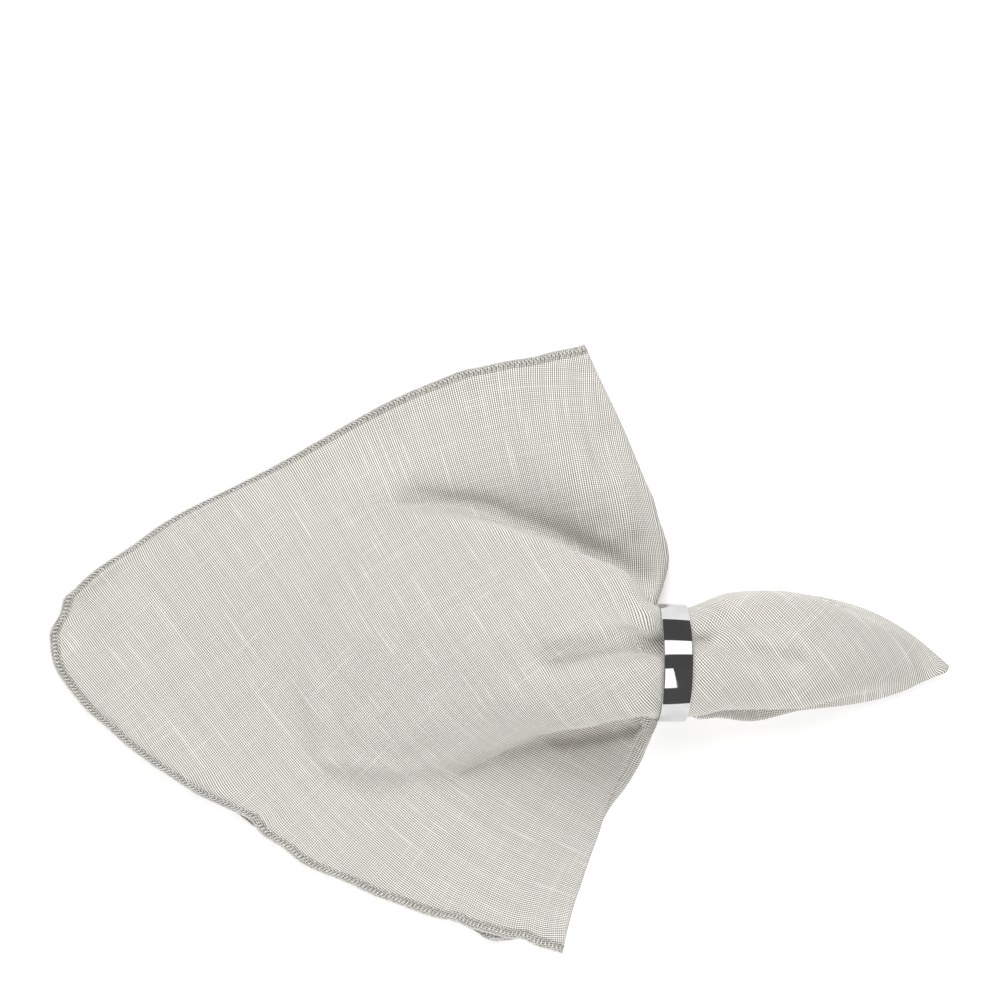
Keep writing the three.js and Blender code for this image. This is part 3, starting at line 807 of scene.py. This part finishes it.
# %% The hem's edge and its stitches
STITCH = 1.4
STITCH_DEPTH = 2.7
THREAD = 0.19
EDGE_SHARES = 900
RAIL_INSETS = np.array([0.0, 0.7, 1.4, 2.1, 2.8])


def hem_rail(inset):
    """The closed line that lies this far inside the hem, round all four layers."""
    rail = []
    for layer in range(4):
        share = np.linspace(0, 1, EDGE_SHARES)
        share = share if layer in (0, 2) else share[::-1]
        along = 2 - inset / inset_of(1.0, share)
        rail += [layer_points(0, layer, along, share), fold_points(0, layer, along[-1:])[0]]
    return np.concatenate(rail)


RAILS = np.stack([hem_rail(inset) for inset in RAIL_INSETS])
edge_steps = np.diff(RAILS[0], axis=0, append=RAILS[0][:1])
HEM_RUN = np.r_[0.0, np.cumsum(np.linalg.norm(edge_steps, axis=-1))]
STITCHES = int(HEM_RUN[-1] / STITCH)
print("hem is", round(HEM_RUN[-1]), "mm round, with", STITCHES, "stitches")


# %% Threads as swept tubes
EDGE_REACH = 3
TUBE_UP = np.array([0.13, 0.21, 1.0])


def on_hem(stitch, inset, height):
    """A point by its stitch along the hem, its depth into the cloth and its height over it."""
    run = (stitch % STITCHES) / STITCHES * HEM_RUN[-1]
    rails = np.stack([
        [np.interp(run, HEM_RUN, np.r_[rail[:, k], rail[0, k]]) for k in range(3)] for rail in RAILS
    ]).transpose(0, 2, 1)
    i = np.clip(np.searchsorted(RAIL_INSETS, inset) - 1, 0, len(RAIL_INSETS) - 2)
    each = np.arange(len(run))
    t = (inset - RAIL_INSETS[i]) / (RAIL_INSETS[i + 1] - RAIL_INSETS[i])
    inward = rails[i + 1, each] - rails[i, each]
    ahead = np.roll(rails[0], -EDGE_REACH, 0) - np.roll(rails[0], EDGE_REACH, 0)
    return rails[i, each] + inward * t[:, None] + unit(np.cross(inward, ahead)) * height[:, None]


def tube(path, radius, sides):
    """A closed tube swept round a closed path."""
    ahead = unit(np.roll(path, -1, 0) - np.roll(path, 1, 0))
    side = unit(np.cross(ahead, TUBE_UP))
    rise = np.cross(side, ahead)
    turn = 2 * np.pi * np.arange(sides) / sides
    cosine, sine = np.cos(turn)[None, :, None], np.sin(turn)[None, :, None]
    ring = side[:, None] * cosine + rise[:, None] * sine
    points = path[:, None] + radius * ring
    ids = np.arange(points.shape[0] * sides).reshape(-1, sides)
    after, turned = np.roll(ids, -1, 0), np.roll(ids, -1, 1)
    quads = np.stack([ids, turned, np.roll(after, -1, 1), after], -1).reshape(-1, 4)
    return points.reshape(-1, 3), quads


print("tubes are swept with a radius of", THREAD, "mm")

# %% Sew the hem
LOOP_LEAN, LOOP_SHIFT, LOOP_PAST = 0.2, 0.25, 0.1
LOOP_SIT, LOOP_LOW, LOOP_CLIMB = 0.8, 0.35, 3
NEEDLE_STEEP, NEEDLE_SHIFT = 2, 0.8
CHAIN_OUT, CHAIN_SWING, CHAIN_SIT = 0.18, 0.32, 0.6


def looper(face, steps=5):
    """A thread that zigzags on one face between the needle line and the edge."""
    t = np.arange(STITCHES * steps) / steps
    wave = 0.5 - 0.5 * np.cos(2 * np.pi * t)
    lean = LOOP_LEAN * np.sin(2 * np.pi * t)
    climb = mix(LOOP_LOW, 1.0, np.clip(wave * LOOP_CLIMB, 0, 1))
    height = face * (SHEET / 2 + THREAD * LOOP_SIT) * climb
    return on_hem(t + face * LOOP_SHIFT + lean, STITCH_DEPTH * wave - LOOP_PAST, height)


def needle_row(steps=4):
    """The needle thread: a short stitch on top, then down through the cloth."""
    t = np.arange(STITCHES * steps) / steps
    wave = np.clip(NEEDLE_STEEP * np.sin(2 * np.pi * t + NEEDLE_SHIFT), -1, 1)
    return on_hem(t, np.full_like(t, STITCH_DEPTH), (SHEET / 2 + THREAD) * wave)


def edge_chain(strand, steps=4):
    """One of two strands twisted along the very edge."""
    t = np.arange(STITCHES * steps) / steps
    turn = 2 * np.pi * t + np.pi * strand
    height = (SHEET / 2 + THREAD * CHAIN_SIT) * np.sin(turn)
    return on_hem(t, -CHAIN_OUT + CHAIN_SWING * np.cos(turn), height)


THREADS = [
    (looper(1), 4), (looper(-1), 3), (needle_row(), 3), (edge_chain(0), 3), (edge_chain(1), 3),
]
thread_points, thread_faces, thread_count = [], [], 0
for path, sides in THREADS:
    points, quads = tube(path, THREAD, sides)
    thread_points.append(points)
    thread_faces.append(quads + thread_count)
    thread_count += len(points)
stitching = add_mesh("hem_stitching", np.vstack(thread_points), np.vstack(thread_faces))
print("stitching:", len(stitching.data.polygons), "faces")

# %% [markdown]
# ## The ring
# The ring is a plain polished band. A cylinder with open ends is the natural start: Solidify gives
# the wall its thickness inwards, and Bevel rounds the four rims as a polisher would. It is then
# laid on its side, leaned as the cloth holds it, and its place is applied to the mesh.

# %% Model the band
RING_BORE, RING_WALL, RING_WIDTH, RING_EDGE = 19.3, 1.4, 10.2, 0.45
RING_SIDES, RIM_STEPS = 192, 4
RIM_ANGLE, SMOOTH_ANGLE = math.radians(40), math.radians(35)
BAND_LEAN, BAND_SHIFT = 0.09, 0.4

bpy.ops.object.select_all(action="DESELECT")
bpy.ops.mesh.primitive_cylinder_add(
    vertices=RING_SIDES,
    radius=(RING_BORE + RING_WALL) * MM,
    depth=RING_WIDTH * MM,
    end_fill_type="NOTHING",
)
band = bpy.context.object
band.name = "ring_band"
wall = band.modifiers.new("wall", "SOLIDIFY")
wall.thickness, wall.offset = RING_WALL * MM, -1.0
rims = band.modifiers.new("rims", "BEVEL")
rims.width, rims.segments = RING_EDGE * MM, RIM_STEPS
rims.limit_method, rims.angle_limit = "ANGLE", RIM_ANGLE
for name in ("wall", "rims"):
    bpy.ops.object.modifier_apply(modifier=name)
band.rotation_euler = (0.0, math.pi / 2 + math.atan(BAND_LEAN), 0.0)
band.location = ((RING_X + BAND_SHIFT) * MM, RING_Y * MM, RING_Z * MM)
bpy.ops.object.transform_apply(location=True, rotation=True, scale=True)
bpy.ops.object.shade_smooth_by_angle(angle=SMOOTH_ANGLE)
print("band:", len(band.data.polygons), "faces")

# %% [markdown]
# ## Linen
# Linen shows a plain weave of single threads, threads that stand out more in some stretches than
# in others, and slubs, the thick pale stretches of hand-like yarn. All are drawn from the flat
# napkin's UV map, so they bend with the folds. One noise is read once for each thread and slowly
# along it, a second, cut off high, picks out the slubs, and a third wears the thread a little
# paler or darker. Long streaks tint groups of threads.

# %% Node helpers
def new_material(name):
    made = bpy.data.materials.new(name)
    made.use_nodes = True
    return made, made.node_tree.nodes, made.node_tree.links


def put(node, **values):
    """Set a node's inputs by their names."""
    for name, value in values.items():
        node.inputs[name.replace("_", " ")].default_value = value


class Board:
    """A short way to write maths on a material's node tree."""

    def __init__(self, tree):
        self.nodes, self.links = tree.nodes, tree.links

    def feed(self, socket, value):
        if isinstance(value, (int, float)):
            socket.default_value = value
        else:
            self.links.new(value, socket)

    def math(self, operation, *values):
        node = self.nodes.new("ShaderNodeMath")
        node.operation = operation
        for socket, value in zip(node.inputs, values):
            self.feed(socket, value)
        return node.outputs[0]

    def between(self, value, low, high, to_low=0.0, to_high=1.0):
        node = self.nodes.new("ShaderNodeMapRange")
        node.interpolation_type = "SMOOTHSTEP"
        for socket, part in zip(node.inputs, (value, low, high, to_low, to_high)):
            self.feed(socket, part)
        return node.outputs[0]

    def noise(self, x, y, z, detail=1.0):
        join = self.nodes.new("ShaderNodeCombineXYZ")
        for socket, part in zip(join.inputs, (x, y, z)):
            self.feed(socket, part)
        node = self.nodes.new("ShaderNodeTexNoise")
        put(node, Scale=1.0, Detail=detail)
        self.links.new(join.outputs[0], node.inputs["Vector"])
        return node.outputs["Fac"]

    def ramp(self, value, stops):
        node = self.nodes.new("ShaderNodeValToRGB")
        ramp = node.color_ramp
        while len(ramp.elements) < len(stops):
            ramp.elements.new(0.5)
        for element, (place, colour) in zip(ramp.elements, stops):
            element.position, element.color = place, (*colour, 1.0)
        self.links.new(value, node.inputs["Fac"])
        return node.outputs["Color"]


print("node helpers ready")

# %% Linen material
THREAD_PITCH, THREAD_APART = 0.00071, 3.71
TONE_FROM, TONE_FULL = 0.28, 0.72
SLUB_FROM, SLUB_FULL = 0.62, 0.78
TONE_SCALE, SLUB_SCALE, WEAR_SCALE = 110.0, 40.0, 28.0

linen, nodes, links = new_material("slubbed_linen")
board = Board(linen.node_tree)
shader = nodes["Principled BSDF"]
flat_map = nodes.new("ShaderNodeUVMap")
flat_map.uv_map = "flat"
split = nodes.new("ShaderNodeSeparateXYZ")
links.new(flat_map.outputs["UV"], split.inputs[0])
u, v = split.outputs["X"], split.outputs["Y"]
warp_at = board.math("DIVIDE", v, THREAD_PITCH)
weft_at = board.math("DIVIDE", u, THREAD_PITCH)
warp_number, weft_number = board.math("FLOOR", warp_at), board.math("FLOOR", weft_at)


def thread_noise(number, along, seed, per_metre):
    """A noise that is new for each thread and changes slowly along it."""
    spread = board.math("MULTIPLY", number, THREAD_APART)
    return board.noise(spread, board.math("MULTIPLY", along, per_metre), seed)


warp_tone = thread_noise(warp_number, u, 1.5, TONE_SCALE)
weft_tone = thread_noise(weft_number, v, 7.5, TONE_SCALE)
warp_slub = thread_noise(warp_number, u, 21.5, SLUB_SCALE)
weft_slub = thread_noise(weft_number, v, 33.5, SLUB_SCALE)
warp_wear = thread_noise(warp_number, u, 47.5, WEAR_SCALE)
weft_wear = thread_noise(weft_number, v, 59.5, WEAR_SCALE)
print("linen threads every", THREAD_PITCH * 1000, "mm")

# %% Weave and tone
WARP_SIZES = dict(least=0.58, most=0.75, thick=0.16, worn=0.06)
WEFT_SIZES = dict(least=0.24, most=0.42, thick=0.08, worn=0.03)
GROUND, STREAK = 0.42, 0.1
STREAK_LONG, STREAK_FINE, STREAK_DETAIL = 14.0, 260.0, 2.0


# In the colour, the weave's dark gaps between threads are painted shade and its pale crests painted
# light on the threads' tops; tone, wear, slubs and streaks are the yarn's own colour.
def crest(at):
    """-0.5 in the gap between two threads, 0.5 on top of a thread."""
    wave = board.math("COSINE", board.math("MULTIPLY", at, 2 * math.pi))
    return board.math("MULTIPLY", wave, -0.5)


def strand(at, tone, wear, slub, least, most, thick, worn):
    """One set of threads: it stands out more or less along its length, and a slub is palest."""
    tone, wear = (board.between(noise, TONE_FROM, TONE_FULL) for noise in (tone, wear))
    slub = board.between(slub, SLUB_FROM, SLUB_FULL)
    plain = board.math("MULTIPLY", crest(at), board.math("MULTIPLY_ADD", tone, most, least))
    shift = board.math("MULTIPLY_ADD", wear, worn, -worn / 2)
    return board.math("ADD", plain, board.math("MULTIPLY_ADD", slub, thick, shift))


warp_strand = strand(warp_at, warp_tone, warp_wear, warp_slub, **WARP_SIZES)
weft_strand = strand(weft_at, weft_tone, weft_wear, weft_slub, **WEFT_SIZES)
weave = board.math("ADD", warp_strand, weft_strand)
streaks = []
for per_u, per_v, seed in ((STREAK_LONG, STREAK_FINE, 3.0), (STREAK_FINE, STREAK_LONG, 11.0)):
    along_u, along_v = board.math("MULTIPLY", u, per_u), board.math("MULTIPLY", v, per_v)
    streaks.append(board.noise(along_u, along_v, seed, STREAK_DETAIL))
tone = board.math("MULTIPLY_ADD", board.math("ADD", *streaks), STREAK / 2, GROUND)
shade = board.math("ADD", weave, tone)
print("weave mixed from", len(nodes), "nodes")

# %% Linen shader
# Under the hem's stitches, out to just past the needle line, the cloth is darkened: painted shade
# from the threads lying over it.
HEM_SHADE_FROM, HEM_SHADE_TO, HEM_SHADE_LOSS = 2.9, 3.3, 0.36
LINEN_STOPS = [
    (0.0, (0.16, 0.15, 0.128)), (0.5, (0.579, 0.557, 0.517)), (1.0, (0.97, 0.955, 0.915)),
]
ROUGH_DARK, ROUGH_PALE = 0.97, 0.82

hem_depth = nodes.new("ShaderNodeAttribute")
hem_depth.attribute_name = "hem_inset"
painted_hem_shade = board.between(hem_depth.outputs["Fac"], HEM_SHADE_FROM, HEM_SHADE_TO, HEM_SHADE_LOSS, 0.0)
colour = board.ramp(board.math("SUBTRACT", shade, painted_hem_shade), LINEN_STOPS)
links.new(colour, shader.inputs["Base Color"])
links.new(board.between(shade, 0.0, 1.0, ROUGH_DARK, ROUGH_PALE), shader.inputs["Roughness"])
bump = nodes.new("ShaderNodeBump")
put(bump, Strength=0.35, Distance=0.00012)
links.new(weave, bump.inputs["Height"])
links.new(bump.outputs["Normal"], shader.inputs["Normal"])
put(shader, Sheen_Weight=0.08, Sheen_Roughness=0.6, Specular_IOR_Level=0.15)
napkin.data.materials.append(linen)
print("linen nodes:", len(nodes))

# %% [markdown]
# ## Hem thread and polished metal
# The hem thread is a pale grey cotton with faint flecks. The ring is a mirror: nearly all its look
# comes from the studio round it, so its own nodes only add the faint smears and hair-fine
# scratches of a ring in use.

# %% Hem thread
THREAD_STOPS = [(0.3, (0.66, 0.645, 0.615)), (0.7, (0.9, 0.885, 0.855))]

grey_thread, nodes, links = new_material("grey_hem_thread")
board = Board(grey_thread.node_tree)
shader = nodes["Principled BSDF"]
place = nodes.new("ShaderNodeTexCoord")
fleck = nodes.new("ShaderNodeTexNoise")
put(fleck, Scale=900.0, Detail=2.0)
links.new(place.outputs["Object"], fleck.inputs["Vector"])
links.new(board.ramp(fleck.outputs["Fac"], THREAD_STOPS), shader.inputs["Base Color"])
put(shader, Roughness=0.8, Sheen_Weight=0.15)
stitching.data.materials.append(grey_thread)
print("hem thread ready")

# %% Polished metal
SMEAR_FROM, SMEAR_FULL = 0.35, 0.75
ROUGH_CLEAN, ROUGH_SMEARED = 0.03, 0.085
METAL_STOPS = [(0.3, (0.5, 0.5, 0.505)), (0.7, (0.59, 0.59, 0.59))]

polished, nodes, links = new_material("polished_metal")
board = Board(polished.node_tree)
shader = nodes["Principled BSDF"]
place = nodes.new("ShaderNodeTexCoord")
smear = nodes.new("ShaderNodeTexNoise")
put(smear, Scale=120.0, Detail=4.0)
links.new(place.outputs["Object"], smear.inputs["Vector"])
stretch = nodes.new("ShaderNodeMapping")
put(stretch, Scale=(9000.0, 260.0, 260.0))
links.new(place.outputs["Object"], stretch.inputs["Vector"])
hair = nodes.new("ShaderNodeTexNoise")
put(hair, Scale=1.0)
links.new(stretch.outputs["Vector"], hair.inputs["Vector"])
smeared = smear.outputs["Fac"]
rough = board.between(smeared, SMEAR_FROM, SMEAR_FULL, ROUGH_CLEAN, ROUGH_SMEARED)
links.new(rough, shader.inputs["Roughness"])
links.new(board.ramp(smeared, METAL_STOPS), shader.inputs["Base Color"])
scratch = nodes.new("ShaderNodeBump")
put(scratch, Strength=0.03, Distance=0.00002)
links.new(hair.outputs["Fac"], scratch.inputs["Height"])
links.new(scratch.outputs["Normal"], shader.inputs["Normal"])
put(shader, Metallic=1.0)
band.data.materials.append(polished)
print("polished metal ready")

# %% [markdown]
# ## Floor, light and camera
# The photo is taken from almost straight above on a white ground. A ring that lies along X mirrors
# only what stands in front of and behind it. A bright box behind (+Y) makes one white band on it
# and a narrow one in front makes a wedge. Two larger boxes, in front and behind, light the cloth
# and are kept out of the mirror. The floor glows a little, so that shadows on it stay faint.

# %% Floor
FLOOR_SIDE, FLOOR_DROP = 3.0, 0.0002


def grey(level):
    return (level, level, level, 1.0)


bpy.ops.object.select_all(action="DESELECT")
bpy.ops.mesh.primitive_plane_add(size=FLOOR_SIDE, location=(0.0, 0.0, -FLOOR_DROP))
floor = bpy.context.object
floor.name = "floor"
bpy.ops.object.transform_apply(location=True, rotation=True, scale=True)
pale, nodes, links = new_material("pale_floor")
shader = nodes["Principled BSDF"]
put(shader, Base_Color=grey(0.93), Roughness=0.9)
put(shader, Emission_Color=grey(1.0), Emission_Strength=0.3)
floor.data.materials.append(pale)
print("floor laid")

# %% Lights
# place, aim, size, power, seen in the mirror
LIGHTS = {
    "back_box": ((0.0, 0.56, 1.15), (0.03, 0.0, 0.0), (1.3, 0.62), 5.0, True),
    "front_box": ((0.14, -0.72, 1.1), (0.09, 0.0, 0.0), (0.3, 0.9), 1.6, True),
    "near_box": ((0.0, -1.5, 1.15), (0.0, 0.0, 0.0), (1.5, 1.2), 26.0, False),
    "far_box": ((0.0, 1.5, 1.15), (0.0, 0.0, 0.0), (1.5, 1.2), 29.0, False),
}
for name, (stand, aim, size, power, mirrored) in LIGHTS.items():
    lamp = bpy.data.lights.new(name, "AREA")
    lamp.shape = "RECTANGLE"
    lamp.size, lamp.size_y = size
    lamp.energy = power
    holder = bpy.data.objects.new(name, lamp)
    holder.location = stand
    holder.visible_glossy = mirrored
    holder.rotation_euler = (Vector(aim) - Vector(stand)).to_track_quat("-Z", "Y").to_euler()
    bpy.context.scene.collection.objects.link(holder)
print("lights:", sorted(LIGHTS))

# %% Room round the table
ROOM_GREY, SEEN_GREY = 0.11, 0.93

world = bpy.data.worlds.new("studio")
world.use_nodes = True
nodes, links = world.node_tree.nodes, world.node_tree.links
room = nodes["Background"]
put(room, Color=grey(ROOM_GREY))
seen = nodes.new("ShaderNodeBackground")
put(seen, Color=grey(SEEN_GREY))
ray = nodes.new("ShaderNodeLightPath")
choose = nodes.new("ShaderNodeMixShader")
links.new(ray.outputs["Is Camera Ray"], choose.inputs["Fac"])
links.new(room.outputs[0], choose.inputs[1])
links.new(seen.outputs[0], choose.inputs[2])
links.new(choose.outputs[0], nodes["World Output"].inputs["Surface"])
bpy.context.scene.world = world
print("room is", ROOM_GREY, "grey in the mirror and", SEEN_GREY, "to the camera")

# %% Camera
VIEW_WIDTH = 0.3595
CAMERA_AWAY, CAMERA_UP = 1.1, math.radians(84.0)
CAMERA_AIM = Vector((0.0, 0.0528, 0.0))

lens = bpy.data.cameras.new("camera")
lens.sensor_width = 36.0
lens.angle = 2 * math.atan(VIEW_WIDTH / 2 / CAMERA_AWAY)
camera = bpy.data.objects.new("camera", lens)
sight = Vector((0.0, -math.cos(CAMERA_UP), math.sin(CAMERA_UP)))
camera.location = CAMERA_AIM + CAMERA_AWAY * sight
camera.rotation_euler = (CAMERA_AIM - camera.location).to_track_quat("-Z", "Y").to_euler()
bpy.context.scene.collection.objects.link(camera)
bpy.context.scene.camera = camera
bpy.context.scene.view_settings.view_transform = "Standard"
print("camera at", [round(c, 3) for c in camera.location])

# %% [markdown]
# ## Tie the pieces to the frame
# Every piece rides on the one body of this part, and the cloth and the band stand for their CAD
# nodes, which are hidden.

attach(napkin, "root")
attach(stitching, "root")
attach(band, "root")
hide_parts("napkin")
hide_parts("ring")
